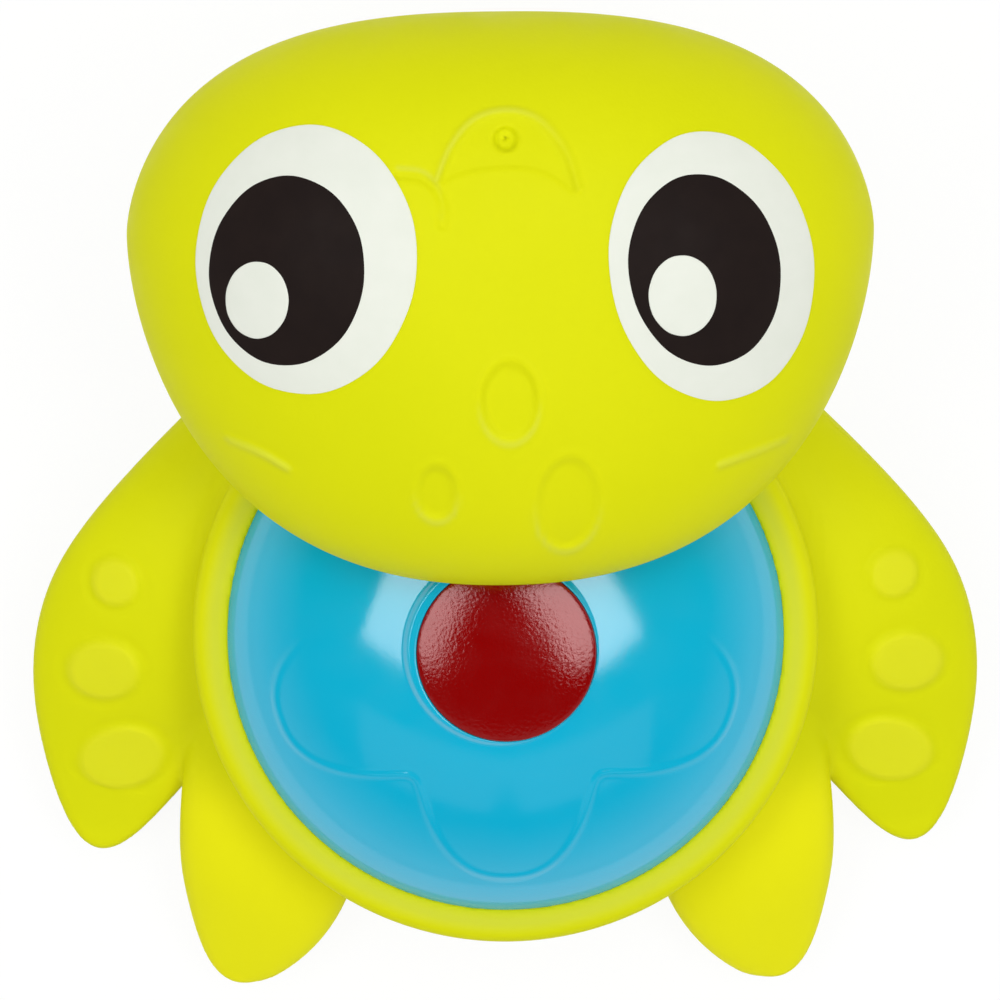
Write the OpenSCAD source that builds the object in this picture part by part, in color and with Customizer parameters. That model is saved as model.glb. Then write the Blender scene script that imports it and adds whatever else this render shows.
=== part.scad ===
// Squeaky turtle bath toy: soft casing, turning head, hard shell and a press-button squeaker.
// The origin is on the flat belly face, straight below the middle of the shell.
// +Y points forward to the head, +Z points up, and every size is in millimetres.

/* [Shell] */
// Diameter of the blue shell where it meets the rim
shell_d = 56; // [52:0.5:60]
// Height of the top of the shell above the belly face
shell_top = 35.5; // [34:0.5:38]
// Height at which the curve of the shell starts
shell_base = 23; // [21.5:0.5:24]
// Wall of the shell
shell_wall = 1.6; // [1.2:0.1:2]
// Radial clearance of the shell in its seat
shell_fit = 0.1; // [0.05:0.05:0.2]
// Diameter of the raised boss round the button
boss_d = 19.4; // [19.2:0.1:21]
// Sideways offset of the boss from the button
boss_shift = 0.5; // [0:0.1:0.6]

/* [Casing] */
// Width of the rounded rim round the shell
rim_w = 3.5; // [3:0.1:4.5]
// Height of the top of the rim above the belly face
rim_top = 24.5; // [24:0.5:26]
// Depth of the shell's seat below the top of the rim
seat_depth = 5; // [4:0.5:6]
// Width of the ledge that the seal lies on
ledge_w = 2.2; // [2:0.1:2.6]
// Thickness of that ledge
ledge_t = 2; // [1.5:0.1:3]
// Wall of the soft casing
casing_wall = 2; // [1.6:0.1:2.4]
// Diameter of the flat belly face
belly_d = 36; // [34:0.5:42]
// Width of the chest under the head
chest_w = 48; // [44:0.5:52]
// Length of the chest from back to front
chest_l = 38; // [36:0.5:42]
// Height of the top of the chest above the belly face
chest_top = 23; // [22.5:0.1:24]
// Distance of the foot of the chest forward of the middle of the shell
chest_foot_y = 34; // [31:0.5:36]

/* [Flippers] */
// Half width of a front flipper at its widest
front_half_w = 16.4; // [15:0.1:17.4]
// Half thickness of a front flipper at its root
front_half_t = 6.6; // [5:0.1:7.5]
// Half width of a rear flipper at its widest
rear_half_w = 10; // [9:0.1:11]
// Half thickness of a rear flipper at its root
rear_half_t = 5.6; // [4:0.1:6.5]
// Height of a front flipper's root above the belly face
front_root_z = 13.5; // [12:0.5:15]
// Height of a front flipper's tip above the belly face
front_tip_z = 5.5; // [4:0.5:8]
// Height of a rear flipper's root above the belly face
rear_root_z = 11; // [9:0.5:13]
// Height of a rear flipper's tip above the belly face
rear_tip_z = 4.5; // [3:0.5:7]
// Height of the raised spots on the front flippers
spot_h = 0.7; // [0.4:0.1:1]

/* [Head] */
// Width of the head
head_w = 72.4; // [68:0.2:76]
// Length of the head forward of its widest line
head_front = 21.2; // [19:0.2:24]
// Length of the head behind its widest line
head_back = 34.6; // [32:0.2:36]
// Distance of the widest line forward of the middle of the shell
head_y = 42.2; // [41:0.1:43.4]
// Offset of the head's outline to the left of the middle of the face
head_left = 0.2; // [0:0.1:1]
// Offset of the eyes and the squirt hole to the right of the middle
face_right = 0.4; // [0:0.1:1]
// Height of the head's widest outline above the top of the shell
head_lift = 4.1; // [3.6:0.1:6]
// Height of the face above that outline
head_rise = 18; // [16:0.2:21]
// Depth of the underside below that outline
head_drop = 13.6; // [12:0.2:14]
// Wall of the soft head
head_wall = 2.2; // [1.8:0.1:2.6]
// Height of the swelling under each eye
eye_bulge = 2; // [0:0.1:3]
// Clearance between the crown and the button
crown_gap = 0.9; // [0.6:0.1:1.5]
// Diameter of the squirt hole in the mouth
squirt_d = 1.4; // [1:0.1:2]
// Distance of the squirt hole forward of the head's widest line
squirt_ahead = 9.9; // [8:0.1:12]
// Largest turn of the head to each side, in degrees
head_turn = 10; // [5:1:12]

/* [Eyes] */
// Distance of the left eye behind the head's widest line
eye_back = 1; // [0:0.1:2]
// How much further back the right eye sits than the left
right_eye_drop = 1.2; // [0.6:0.1:1.8]
// Width of the left eye's white
left_white_w = 21; // [19:0.1:22]
// Width of the right eye's white
right_white_w = 19.5; // [18:0.1:21]
// Height of each eye's white
white_h = 25.6; // [23:0.1:27]
// Width of each pupil
pupil_w = 14.6; // [12:0.1:15]
// Height of each pupil
pupil_h = 18.2; // [16:0.1:19]
// Width of each glint
glint_w = 6.3; // [4.5:0.1:6.5]
// Height of each glint
glint_h = 7.7; // [6:0.1:8]
// Depth of each inlay in the head
inlay_depth = 0.9; // [0.6:0.1:1.2]
// Height of each inlay above the piece that holds it
inlay_proud = 0.12; // [0.08:0.02:0.2]

/* [Neck] */
// Distance of the neck's axis forward of the middle of the shell
neck_y = 44.5; // [44:0.1:46]
// Diameter of the neck connector's tube
neck_d = 11.8; // [10:0.1:12.4]
// Bore of the neck connector
neck_bore_d = 8; // [6:0.1:9]
// Diameter of the neck connector's flanges
neck_flange_d = 15.2; // [14.4:0.1:15.6]
// Thickness of the neck connector's flanges
neck_flange_t = 1.3; // [1:0.1:1.6]
// Thickness of the collar between the chest and the head
neck_collar_t = 0.8; // [0.6:0.1:1.2]
// Diameter of the foot of the head's neck
neck_foot_d = 21; // [20:0.1:23]
// Diameter of the head's neck where it meets the underside
neck_root_d = 30.5; // [26:0.5:34]
// Widening of the head's neck above the connector
neck_mouth = 0.6; // [0.4:0.1:1]
// Radial clearance of the neck connector in the chest and in the head, which turns on it
neck_fit = 0.1; // [0.05:0.01:0.1]

/* [Button] */
// Diameter of the red button
button_d = 17.6; // [16.6:0.1:17.8]
// Height of the middle of the button above the top of the shell
button_proud = 0.6; // [0.4:0.1:1]
// Drop from the middle of the button to its edge
button_crown = 1; // [0.6:0.1:1.4]
// Travel of the button
button_travel = 2.5; // [1.5:0.1:3]
// Radial clearance of the button in its guide
button_fit = 0.1; // [0.05:0.01:0.1]
// Wall of the button
button_wall = 1.2; // [1:0.1:1.6]
// Height of the button from its edge down to its flange
button_skirt = 4.4; // [4:0.1:5]
// Width of the flange that holds the button in its guide
button_flange_w = 1.2; // [0.8:0.1:1.4]
// Thickness of that flange
button_flange_t = 1.2; // [0.8:0.1:1.5]
// Wall of the guide round the button
guide_wall = 1.4; // [1:0.1:1.6]
// Gap between the flange and the guide's end
flange_gap = 0.2; // [0.1:0.05:0.3]
// Diameter of the plunger's stem
stem_d = 4; // [3:0.1:4.6]
// Diameter of the plunger's foot
foot_d = 14; // [12:0.1:15]
// Thickness of the plunger's foot
foot_t = 1; // [0.8:0.1:1.4]

/* [Squeaker] */
// Diameter of the bore in the belly
belly_bore_d = 24; // [22.6:0.1:25]
// Radial clearance of the pieces seated in the squeaker
seat_fit = 0.05; // [0.02:0.01:0.1]
// Depth of the squeaker's lower end inside the belly face
grille_recess = 0.8; // [0.5:0.1:1]
// Diameter of the squeaker housing
housing_d = 22; // [21:0.1:22.4]
// Diameter of the housing's flange on the belly floor
housing_flange_d = 29; // [27:0.1:31]
// Thickness of the housing's flange
housing_flange_t = 1.2; // [1:0.1:1.6]
// Height of the top of the housing above the belly face
housing_top = 13.5; // [13:0.1:14]
// Wall of the housing
housing_wall = 1.5; // [1.2:0.1:1.6]
// Thickness of the deck that carries the reed block
deck_t = 1.2; // [1:0.1:1.6]
// Depth of the deck's top below the top of the housing
deck_depth = 1.4; // [1.2:0.1:1.6]
// Thickness of the sound grille
grille_t = 1.2; // [1:0.1:1.6]
// Diameter of each sound hole
sound_hole_d = 2.4; // [1.6:0.1:3]
// Diameter of the ring of sound holes
sound_ring_d = 12; // [10:0.1:14]
// Number of sound holes in the ring
sound_holes = 6; // [4:1:8]

/* [Reed] */
// Diameter of the reed block
block_d = 6.6; // [6:0.1:7.4]
// Diameter of the reed block's flange
block_flange_d = 9.2; // [8.6:0.1:10]
// Thickness of the reed block's flange
block_flange_t = 0.8; // [0.6:0.1:1]
// Length of the reed block below the deck
block_drop = 7.6; // [6.6:0.1:7.8]
// Bore of the reed block
block_bore_d = 2.8; // [2:0.1:3]
// Offset of the reed block's flat from its axis
block_flat_x = 0.6; // [0.4:0.1:1]
// Width of the reed
reed_w = 3.4; // [3.2:0.1:3.8]
// Thickness of the reed
reed_t = 0.25; // [0.15:0.05:0.3]
// Length of the reed
reed_l = 6.4; // [5.6:0.1:6.6]
// Clearance of the reed on both sides
reed_gap = 0.1; // [0.08:0.01:0.12]
// Diameter of the clip that holds the reed
clip_d = 8.6; // [8:0.1:9]
// Height of the clip
clip_h = 1.2; // [0.8:0.1:1.2]

/* [Bellows] */
// Diameter of the bellows at its folds
bellows_d = 17.2; // [15.2:0.1:17.4]
// Depth of each fold
fold_depth = 1.8; // [1:0.1:2]
// Wall of the bellows
bellows_wall = 0.8; // [0.6:0.1:1]
// Number of folds
folds = 4; // [3:1:5]
// Diameter of the bellows's foot flange
bellows_flange_d = 20.4; // [19.6:0.1:20.8]
// Thickness of the bellows's foot flange
bellows_flange_t = 1; // [0.8:0.1:1.2]
// Diameter of the clamp ring
clamp_d = 25; // [24.4:0.1:27]
// Thickness of the clamp ring's top
clamp_t = 1.2; // [1:0.1:1.6]
// Depth of the clamp ring's skirt
clamp_skirt = 3; // [2:0.1:4]

/* [Seal] */
// Width of the seal under the shell
seal_w = 1.6; // [1.2:0.1:1.8]
// Thickness of the seal under the shell
seal_t = 0.8; // [0.6:0.1:1.2]

/* [Hidden] */

// How far every cut runs past the face that it opens
overrun = 1;
// Sides of the round pieces
round_sides = 96;
// Sides of the small round pieces
small_sides = 48;
// Sides of the round parts of a soft moulding
moulded_sides = 64;
// Steps and sides of the soft forms
bowl_steps = 8;
chest_steps = 8;
chest_sides = 32;
flipper_steps = 12;
flipper_sides = 16;
spot_sides = 16;
skin_sides = 56;
lining_sides = 36;
patch_sides = 32;
lime = [0.85, 0.86, 0.09];
blue = [0.09, 0.69, 0.83];
red = [0.66, 0.03, 0.03];

// Squareness of the shell's curve: the first is seen from the side, the second at its edge
dome_bow = 2;
dome_edge = 1.6;
// Squareness of the head's outline at its sides, and how much it gains to the front and to the back
outline_square = 1.86;
front_gain = 0.61;
back_gain = 0.34;
// Squareness of the head's face and underside
face_bow = 2.5;
face_edge = 2.1;
// Squareness of the bowl's side
bowl_bow = 1.7;
bowl_edge = 1.5;
// How much the chest draws in at its foot and its top, and how square that is
chest_draw_share = 0.36;
chest_bow = 3;
// How quickly a flipper narrows to its tip, and how much thinner it gets on the way
front_taper = 1.48;
rear_taper = 2.23;
flipper_thin_share = 0.35;
// How much narrower each flipper starts at its root
front_root_share = 0.61;
rear_root_share = 0.1;
// How soon a flipper reaches its full width past its root, and where its last ring stands
root_quickness = 4.8;
last_ring_share = 0.998;
// Half height of a spot's round form, in heights of the spot
spot_sink = 2;

// Route of the front flipper in plan, from root to tip, as shares of the shell's diameter
front_route_shares = [[0.366, 0.438], [0.681, -0.212], [0.666, 0.009], [0.758, -0.44]];
// Route of the rear flipper in plan, from root to tip, as shares of the shell's diameter
rear_route_shares = [[0.413, -0.144], [0.439, -0.491], [0.445, -0.508], [0.513, -0.698]];
// Raised spots of a front flipper: place along it and across it, then half width and half length
spot_shares = [[0.334, 0.55, 0.168, 0.168], [0.57, 0.341, 0.234, 0.19], [0.806, -0.108, 0.278, 0.198]];

// Shares of the way out at which the head's skin has a ring
skin_shares = [0.02, 0.16, 0.3, 0.44, 0.58, 0.7, 0.8, 0.88, 0.94, 0.98, 1];
// Shares at which its lining has one
lining_shares = [0.02, 0.3, 0.55, 0.75, 0.9, 1];
// Shares at which an eye's patch has one
patch_shares = [0.02, 0.35, 0.7, 1];

// Distance of each eye from the middle of the face, as a share of the head's width
eye_apart_share = 0.2652;
// Tilt of each eye, and places of its pupil and glint from its middle, as shares of its width and height
left_eye_tilt = -5.8;
right_eye_tilt = 8.9;
left_pupil_shares = [-0.086, -0.036];
right_pupil_shares = [-0.038, -0.006];
left_glint_shares = [-0.221, -0.143];
right_glint_shares = [-0.149, -0.093];

shell_r = shell_d / 2;
head_rim_z = shell_top + head_lift;
eye_x = eye_apart_share * head_w;
eye_y = head_y - eye_back;
squirt_y = head_y + squirt_ahead;
dome_r = shell_r - shell_fit;
rim_r = shell_r + rim_w;
rim_round = rim_w / 2;
seat_z = rim_top - seat_depth;
skirt_z = seat_z + seal_t;
button_top = shell_top + button_proud;
button_edge_z = button_top - button_crown;
button_r = button_d / 2;
guide_r = button_r + button_fit;
flange_z = button_edge_z - button_skirt;
guide_z = flange_z + button_flange_t + flange_gap;
foot_z = flange_z - button_travel - foot_t / 2;
deck_top = housing_top - deck_depth;
deck_z = deck_top - deck_t;
housing_r = housing_d / 2;
block_r = block_d / 2;
clip_z = deck_z - clip_h - reed_gap;
reed_top = deck_z - reed_gap;
reed_x = block_flat_x + reed_gap;
head_base_z = chest_top + neck_collar_t + neck_fit;
neck_bore_r = neck_d / 2 + neck_fit;
// How far a point of the crown can move sideways when the head turns
crown_sweep = 2 * neck_y * sin(head_turn / 2);

// Height of the shell's curve at a distance from its middle
function dome_z(r) = shell_base
    + (shell_top - shell_base) * pow(max(0, 1 - pow(min(1, r / dome_r), dome_bow)), 1 / dome_edge);

// Outer radius of the bowl at a height
function bowl_r(z) = let(u = 1 - min(1, z / (rim_top - rim_round)))
    belly_d / 2 + (rim_r - belly_d / 2) * pow(max(0, 1 - pow(u, bowl_bow)), 1 / bowl_edge);

// Share of the way out from the middle of the head to its outline
function head_share(x, y) =
    let(u = abs(x + head_left) / (head_w / 2), v = (y - head_y) / (y > head_y ? head_front : head_back))
    let(n = outline_square + (v > 0 ? front_gain : back_gain) * abs(v) / max(1, norm([u, v])))
    u + abs(v) == 0 ? 0 : pow(pow(u, n) + pow(abs(v), n), 1 / n);

// Point of the head's plan at an angle and a share of the way out
function head_point(angle, share) =
    let(u = cos(angle), v = sin(angle))
    let(x = u * head_w / 2, y = v * (v > 0 ? head_front : head_back))
    let(k = share / head_share(x - head_left, head_y + y))
    [x * k - head_left, head_y + y * k];

// Swelling under the eyes
function eye_swell(x, y) = eye_bulge
    * exp(-pow((abs(x - face_right) - eye_x) / (left_white_w / 2), 2) - pow((y - eye_y) / (white_h / 2), 2));

// Height of the face above a place in plan
function face_z(x, y) = let(s = min(1, head_share(x, y)))
    head_rim_z + head_rise * pow(max(0, 1 - pow(s, face_bow)), 1 / face_edge) + eye_swell(x, y);

// Height of the head's underside, which stays clear of the shell as the head turns
function under_z(x, y) = let(s = min(1, head_share(x, y)))
    let(round_z = head_rim_z - head_drop * pow(max(0, 1 - pow(s, face_bow)), 1 / face_edge))
    let(clear_z = dome_z(max(0, norm([x, y]) - crown_sweep)) + button_proud + crown_gap)
    norm([x, y]) > dome_r + crown_sweep ? round_z : max(round_z, min(head_rim_z, clear_z));

// Point of a cubic curve through four control points
function curve(p, t) = pow(1 - t, 3) * p[0] + 3 * pow(1 - t, 2) * t * p[1]
    + 3 * (1 - t) * t * t * p[2] + pow(t, 3) * p[3];

// Direction of that curve
function curve_way(p, t) =
    let(d = (1 - t) * (1 - t) * (p[1] - p[0]) + 2 * (1 - t) * t * (p[2] - p[1]) + t * t * (p[3] - p[2]))
    d / norm(d);

// Faces that join rings of equal length, closed at both ends
function stack_faces(rings, sides) = concat(
    [[for (j = [0 : sides - 1]) j]],
    [for (i = [0 : rings - 2]) for (j = [0 : sides - 1])
        let(k = (j + 1) % sides)
        each [[i * sides + j, (i + 1) * sides + j, (i + 1) * sides + k],
            [i * sides + j, (i + 1) * sides + k, i * sides + k]]],
    [[for (j = [0 : sides - 1]) rings * sides - 1 - j]]
);

// Solid whose skin runs through rings of points
module ring_stack(rings) {
    sides = len(rings[0]);
    polyhedron(
        points = [for (ring = rings) each ring],
        faces = stack_faces(len(rings), sides),
        convexity = 8
    );
}

// Soft mouldings are one unbroken skin
module moulded() {
    resize([0, 0, 0]) union() children();
}

// Flat ring at a height
module ring(outer_r, inner_r, z, h) {
    translate([0, 0, z]) difference() {
        cylinder(r = outer_r, h = h, $fn = round_sides);
        translate([0, 0, -overrun]) cylinder(r = inner_r, h = h + 2 * overrun, $fn = round_sides);
    }
}

// Rings of the chest, drawn in by an inset all round
function chest_rings(inset) = [for (i = [0 : chest_steps])
    let(u = i / chest_steps, full = 1 - chest_draw_share * pow(abs(2 * u - 1), chest_bow))
    let(z = inset + u * (chest_top - 2 * inset), y = chest_foot_y + u * (neck_y - chest_foot_y))
    [for (j = [0 : chest_sides - 1]) let(a = 360 * j / chest_sides)
        [(chest_w / 2 * full - inset) * cos(a), y + (chest_l / 2 * full - inset) * sin(a), z]]];

// Rings of a flipper on the +X side, along its route
function flipper_rings(route_shares, half_w, half_t, root_z, tip_z, taper, root_share) =
    let(p = route_shares * shell_d)
    [for (i = [0 : flipper_steps])
        let(t = min(sin(90 * i / flipper_steps), last_ring_share), c = curve(p, t), way = curve_way(p, t))
        let(full = sqrt(1 - pow(t, taper)), z = root_z + (tip_z - root_z) * t * t)
        let(w = half_w * full * (1 - root_share * pow(1 - t, root_quickness)))
        let(h = half_t * full * (1 - flipper_thin_share * t))
        [for (j = [0 : flipper_sides - 1]) let(a = 360 * j / flipper_sides)
            [c[0] - way[1] * w * cos(a), c[1] + way[0] * w * cos(a), z + h * sin(a)]]];

// Raised spots on the top of a front flipper
module flipper_spots() {
    p = front_route_shares * shell_d;
    for (s = spot_shares) {
        t = s[0];
        c = curve(p, t);
        way = curve_way(p, t);
        full = sqrt(1 - pow(t, front_taper));
        across = s[1] * front_half_w * full * (1 - front_root_share * pow(1 - t, root_quickness));
        top = front_root_z + (front_tip_z - front_root_z) * t * t
            + front_half_t * full * (1 - flipper_thin_share * t) * sqrt(1 - s[1] * s[1]);
        translate([c[0] - way[1] * across, c[1] + way[0] * across, top - (spot_sink - 1) * spot_h])
            resize([2 * s[2] * front_half_w, 2 * s[3] * front_half_w, 2 * spot_sink * spot_h])
                sphere(r = spot_h, $fn = spot_sides);
    }
}

module flippers() {
    for (side = [0, 1]) mirror([side, 0, 0]) {
        ring_stack(flipper_rings(front_route_shares, front_half_w, front_half_t, front_root_z, front_tip_z,
            front_taper, front_root_share));
        ring_stack(flipper_rings(rear_route_shares, rear_half_w, rear_half_t, rear_root_z, rear_tip_z,
            rear_taper, rear_root_share));
        flipper_spots();
    }
}

// Outside of the bowl, up to its rounded rim
module bowl_outside() {
    rotate_extrude($fn = moulded_sides) polygon(concat(
        [[0, 0]],
        [for (i = [0 : bowl_steps])
            let(z = (rim_top - rim_round) * (1 - cos(90 * i / bowl_steps)))
            [bowl_r(z), z]],
        [for (i = [1 : bowl_steps]) let(a = 180 * i / bowl_steps)
            [shell_r + rim_round * (1 + cos(a)), rim_top - rim_round * (1 - sin(a))]],
        [[0, rim_top - rim_round]]
    ));
}

// Hollow of the bowl, up to the opening inside the ledge
module bowl_cavity() {
    rotate_extrude($fn = moulded_sides) polygon(concat(
        [[0, casing_wall]],
        [for (i = [0 : bowl_steps])
            let(z = casing_wall + (seat_z - ledge_t - casing_wall) * i / bowl_steps)
            [bowl_r(z) - casing_wall, z]],
        [[shell_r - ledge_w, seat_z - ledge_t + ledge_w / 2], [shell_r - ledge_w, rim_top], [0, rim_top]]
    ));
}

// Soft casing: bowl with a rounded rim, chest, four flippers, and bores for squeaker, neck and shell
module body_casing() {
    color(lime) difference() {
        moulded() difference() {
            union() {
                bowl_outside();
                ring_stack(chest_rings(0));
                flippers();
            }
            bowl_cavity();
            difference() {
                ring_stack(chest_rings(casing_wall));
                translate([0, 0, seat_z - ledge_t - ledge_w])
                    cylinder(r = rim_r, h = rim_top, $fn = moulded_sides);
            }
        }
        translate([0, 0, seat_z]) cylinder(r = shell_r, h = seat_depth + overrun, $fn = round_sides);
        translate([0, 0, -overrun])
            cylinder(d = belly_bore_d, h = casing_wall + 2 * overrun, $fn = round_sides);
        translate([0, neck_y, chest_top - casing_wall - overrun])
            cylinder(r = neck_bore_r, h = casing_wall + 2 * overrun, $fn = small_sides);
    }
}

// Glossy shell with its skirt, the boss round the button and the guide below it
module shell_dome() {
    steps = 16;
    inner_r = dome_r - shell_wall;
    color(blue) difference() {
        union() {
            rotate_extrude($fn = round_sides) polygon(concat(
                [for (i = [0 : steps]) let(r = dome_r * sin(90 * i / steps)) [r, dome_z(r)]],
                [[dome_r, skirt_z], [inner_r, skirt_z]],
                [for (i = [0 : steps])
                    let(s = cos(90 * i / steps))
                    [inner_r * s, dome_z(dome_r * s) - shell_wall]]
            ));
            translate([-boss_shift, 0, shell_top - shell_wall])
                cylinder(d = boss_d, h = button_edge_z - shell_top + shell_wall, $fn = round_sides);
            translate([0, 0, guide_z])
                cylinder(r = guide_r + guide_wall, h = shell_top - shell_wall - guide_z, $fn = round_sides);
        }
        translate([0, 0, guide_z - overrun]) cylinder(r = guide_r, h = shell_top, $fn = round_sides);
    }
}

// Flat seal between the shell's skirt and the ledge of the casing
module shell_seal() {
    color("dimgray") ring(dome_r, dome_r - seal_w, seat_z, seal_t);
}

// Rings of the head's skin from the middle of its underside round the outline to the middle of its face
function head_rings(inset, shares, sides) = concat(
    [for (s = shares) [for (j = [0 : sides - 1])
        let(q = head_point(360 * j / sides, s * (1 - 2 * inset / head_w)))
        [q[0], q[1], under_z(q[0], q[1]) + inset]]],
    [for (i = [len(shares) - 1 : -1 : 0]) if (inset > 0 || i < len(shares) - 1)
        [for (j = [0 : sides - 1])
            let(q = head_point(360 * j / sides, shares[i] * (1 - 2 * inset / head_w)))
            [q[0], q[1], face_z(q[0], q[1]) - inset]]]
);

// Soft hollow head with its neck boss, its squirt hole and the recesses of the eyes
module head_shell() {
    neck_rise = head_rim_z - head_drop + 2 * head_wall - head_base_z;
    recess_h = neck_flange_t + 2 * neck_fit;
    color(lime) difference() {
        moulded() difference() {
            union() {
                ring_stack(head_rings(0, skin_shares, skin_sides));
                translate([0, neck_y, head_base_z])
                    cylinder(d1 = neck_foot_d, d2 = neck_root_d, h = neck_rise, $fn = small_sides);
            }
            ring_stack(head_rings(head_wall, lining_shares, lining_sides));
            translate([0, neck_y, head_base_z - overrun])
                cylinder(d = neck_bore_d, h = head_drop, $fn = small_sides);
            translate([0, neck_y, head_base_z + head_wall + recess_h])
                cylinder(d = neck_flange_d + 2 * neck_mouth, h = head_drop, $fn = small_sides);
            eye_patch(-1, left_white_w, white_h, overrun);
            eye_patch(1, right_white_w, white_h, overrun);
        }
        translate([0, neck_y, head_base_z + head_wall])
            cylinder(d = neck_flange_d + 2 * neck_fit, h = recess_h + overrun, $fn = small_sides);
        translate([0, neck_y, head_base_z - overrun])
            cylinder(r = neck_bore_r, h = head_wall + 2 * overrun, $fn = small_sides);
        translate([face_right, squirt_y, head_rim_z])
            cylinder(d = squirt_d, h = head_rise * 2, $fn = small_sides);
    }
}

// Oval patch of the face, from a depth in the face to a height above it
module eye_patch(side, w, h, proud, depth = inlay_depth, place_shares = [0, 0]) {
    tilt = side < 0 ? left_eye_tilt : right_eye_tilt;
    base_w = side < 0 ? left_white_w : right_white_w;
    cx = face_right + side * eye_x + place_shares[0] * base_w;
    cy = eye_y - (side < 0 ? 0 : right_eye_drop) + place_shares[1] * white_h;
    at = function (s, j)
        let(u = s * w / 2 * cos(360 * j / patch_sides), v = s * h / 2 * sin(360 * j / patch_sides))
        [cx + u * cos(tilt) - v * sin(tilt), cy + u * sin(tilt) + v * cos(tilt)];
    ring_stack(concat(
        [for (s = patch_shares) [for (j = [0 : patch_sides - 1])
            let(q = at(s, j))
            [q[0], q[1], face_z(q[0], q[1]) - depth]]],
        [for (i = [len(patch_shares) - 1 : -1 : 0]) [for (j = [0 : patch_sides - 1])
            let(q = at(patch_shares[i], j))
            [q[0], q[1], face_z(q[0], q[1]) + proud]]]
    ));
}

module eye_white(side, w) {
    color("white") moulded() difference() {
        eye_patch(side, w, white_h, inlay_proud);
        pupil_patch(side, overrun);
    }
}

module pupil_patch(side, proud) {
    place_shares = side < 0 ? left_pupil_shares : right_pupil_shares;
    eye_patch(side, pupil_w, pupil_h, proud, inlay_depth * 2 / 3, place_shares);
}

module glint_patch(side, proud) {
    place_shares = side < 0 ? left_glint_shares : right_glint_shares;
    eye_patch(side, glint_w, glint_h, proud, inlay_depth / 3, place_shares);
}

module pupil(side) {
    color("black") moulded() difference() {
        pupil_patch(side, 2 * inlay_proud);
        glint_patch(side, overrun);
    }
}

module eye_glint(side) {
    color("ivory") moulded() glint_patch(side, 3 * inlay_proud);
}

// Hollow connector that holds the head to the chest and lets it turn
module neck_connector() {
    low_z = chest_top - casing_wall - neck_flange_t;
    high_z = head_base_z + head_wall + neck_fit;
    color("whitesmoke") translate([0, neck_y, 0]) difference() {
        union() {
            translate([0, 0, low_z]) cylinder(d = neck_flange_d, h = neck_flange_t, $fn = small_sides);
            translate([0, 0, low_z]) cylinder(d = neck_d, h = high_z - low_z, $fn = small_sides);
            translate([0, 0, chest_top]) cylinder(d = neck_flange_d, h = neck_collar_t, $fn = small_sides);
            translate([0, 0, high_z]) cylinder(d = neck_flange_d, h = neck_flange_t, $fn = small_sides);
        }
        translate([0, 0, low_z - overrun])
            cylinder(d = neck_bore_d, h = high_z - low_z + neck_flange_t + 2 * overrun, $fn = small_sides);
    }
}

// Red button with its skirt, the flange that keeps it in and the socket for the plunger
module button_cap() {
    steps = 10;
    color(red) difference() {
        rotate_extrude($fn = round_sides) polygon(concat(
            [for (i = [0 : steps])
                let(u = i / steps)
                [button_r * u, button_top - button_crown * u * u]],
            [[button_r, flange_z + button_flange_t],
                [button_r + button_flange_w, flange_z + button_flange_t],
                [button_r + button_flange_w, flange_z],
                [button_r - button_wall, flange_z],
                [button_r - button_wall, button_edge_z - button_wall],
                [stem_d / 2 + button_wall, button_edge_z - button_wall],
                [stem_d / 2 + button_wall, flange_z],
                [0, flange_z]]
        ));
        translate([0, 0, flange_z - overrun])
            cylinder(d = stem_d, h = button_edge_z - button_wall - flange_z + overrun, $fn = small_sides);
    }
}

// Plunger that presses the bellows down
module button_plunger() {
    stem_low = foot_z + foot_t - seat_fit;
    stem_high = button_edge_z - button_wall;
    color("whitesmoke") {
        translate([0, 0, stem_low])
            cylinder(r = stem_d / 2 - seat_fit, h = stem_high - stem_low, $fn = small_sides);
        translate([0, 0, foot_z]) cylinder(d = foot_d, h = foot_t, $fn = round_sides);
    }
}

// Soft bellows that blows air through the reed block
module bellows() {
    tall = foot_z - housing_top - bellows_flange_t - bellows_wall;
    low = housing_top + bellows_flange_t;
    out = [for (i = [0 : 2 * folds])
        [bellows_d / 2 - (i % 2 == 0 ? fold_depth : 0), low + tall * i / (2 * folds)]];
    in = [for (i = [2 * folds : -1 : 0]) [out[i][0] - bellows_wall, out[i][1]]];
    color("darkslategray") rotate_extrude($fn = round_sides) polygon(concat(
        [[bellows_flange_d / 2, housing_top], [bellows_flange_d / 2, low]],
        out,
        [[bellows_d / 2 - fold_depth, foot_z], [0, foot_z], [0, foot_z - bellows_wall]],
        in,
        [[bellows_d / 2 - fold_depth - bellows_wall, housing_top]]
    ));
}

// Ring that clamps the bellows's foot on the housing
module bellows_clamp() {
    low = housing_top + bellows_flange_t;
    color("whitesmoke") {
        ring(clamp_d / 2, bellows_d / 2 + seat_fit * 2, low, clamp_t);
        ring(clamp_d / 2, housing_r + seat_fit, low - clamp_skirt, clamp_skirt + seat_fit);
    }
}

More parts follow.
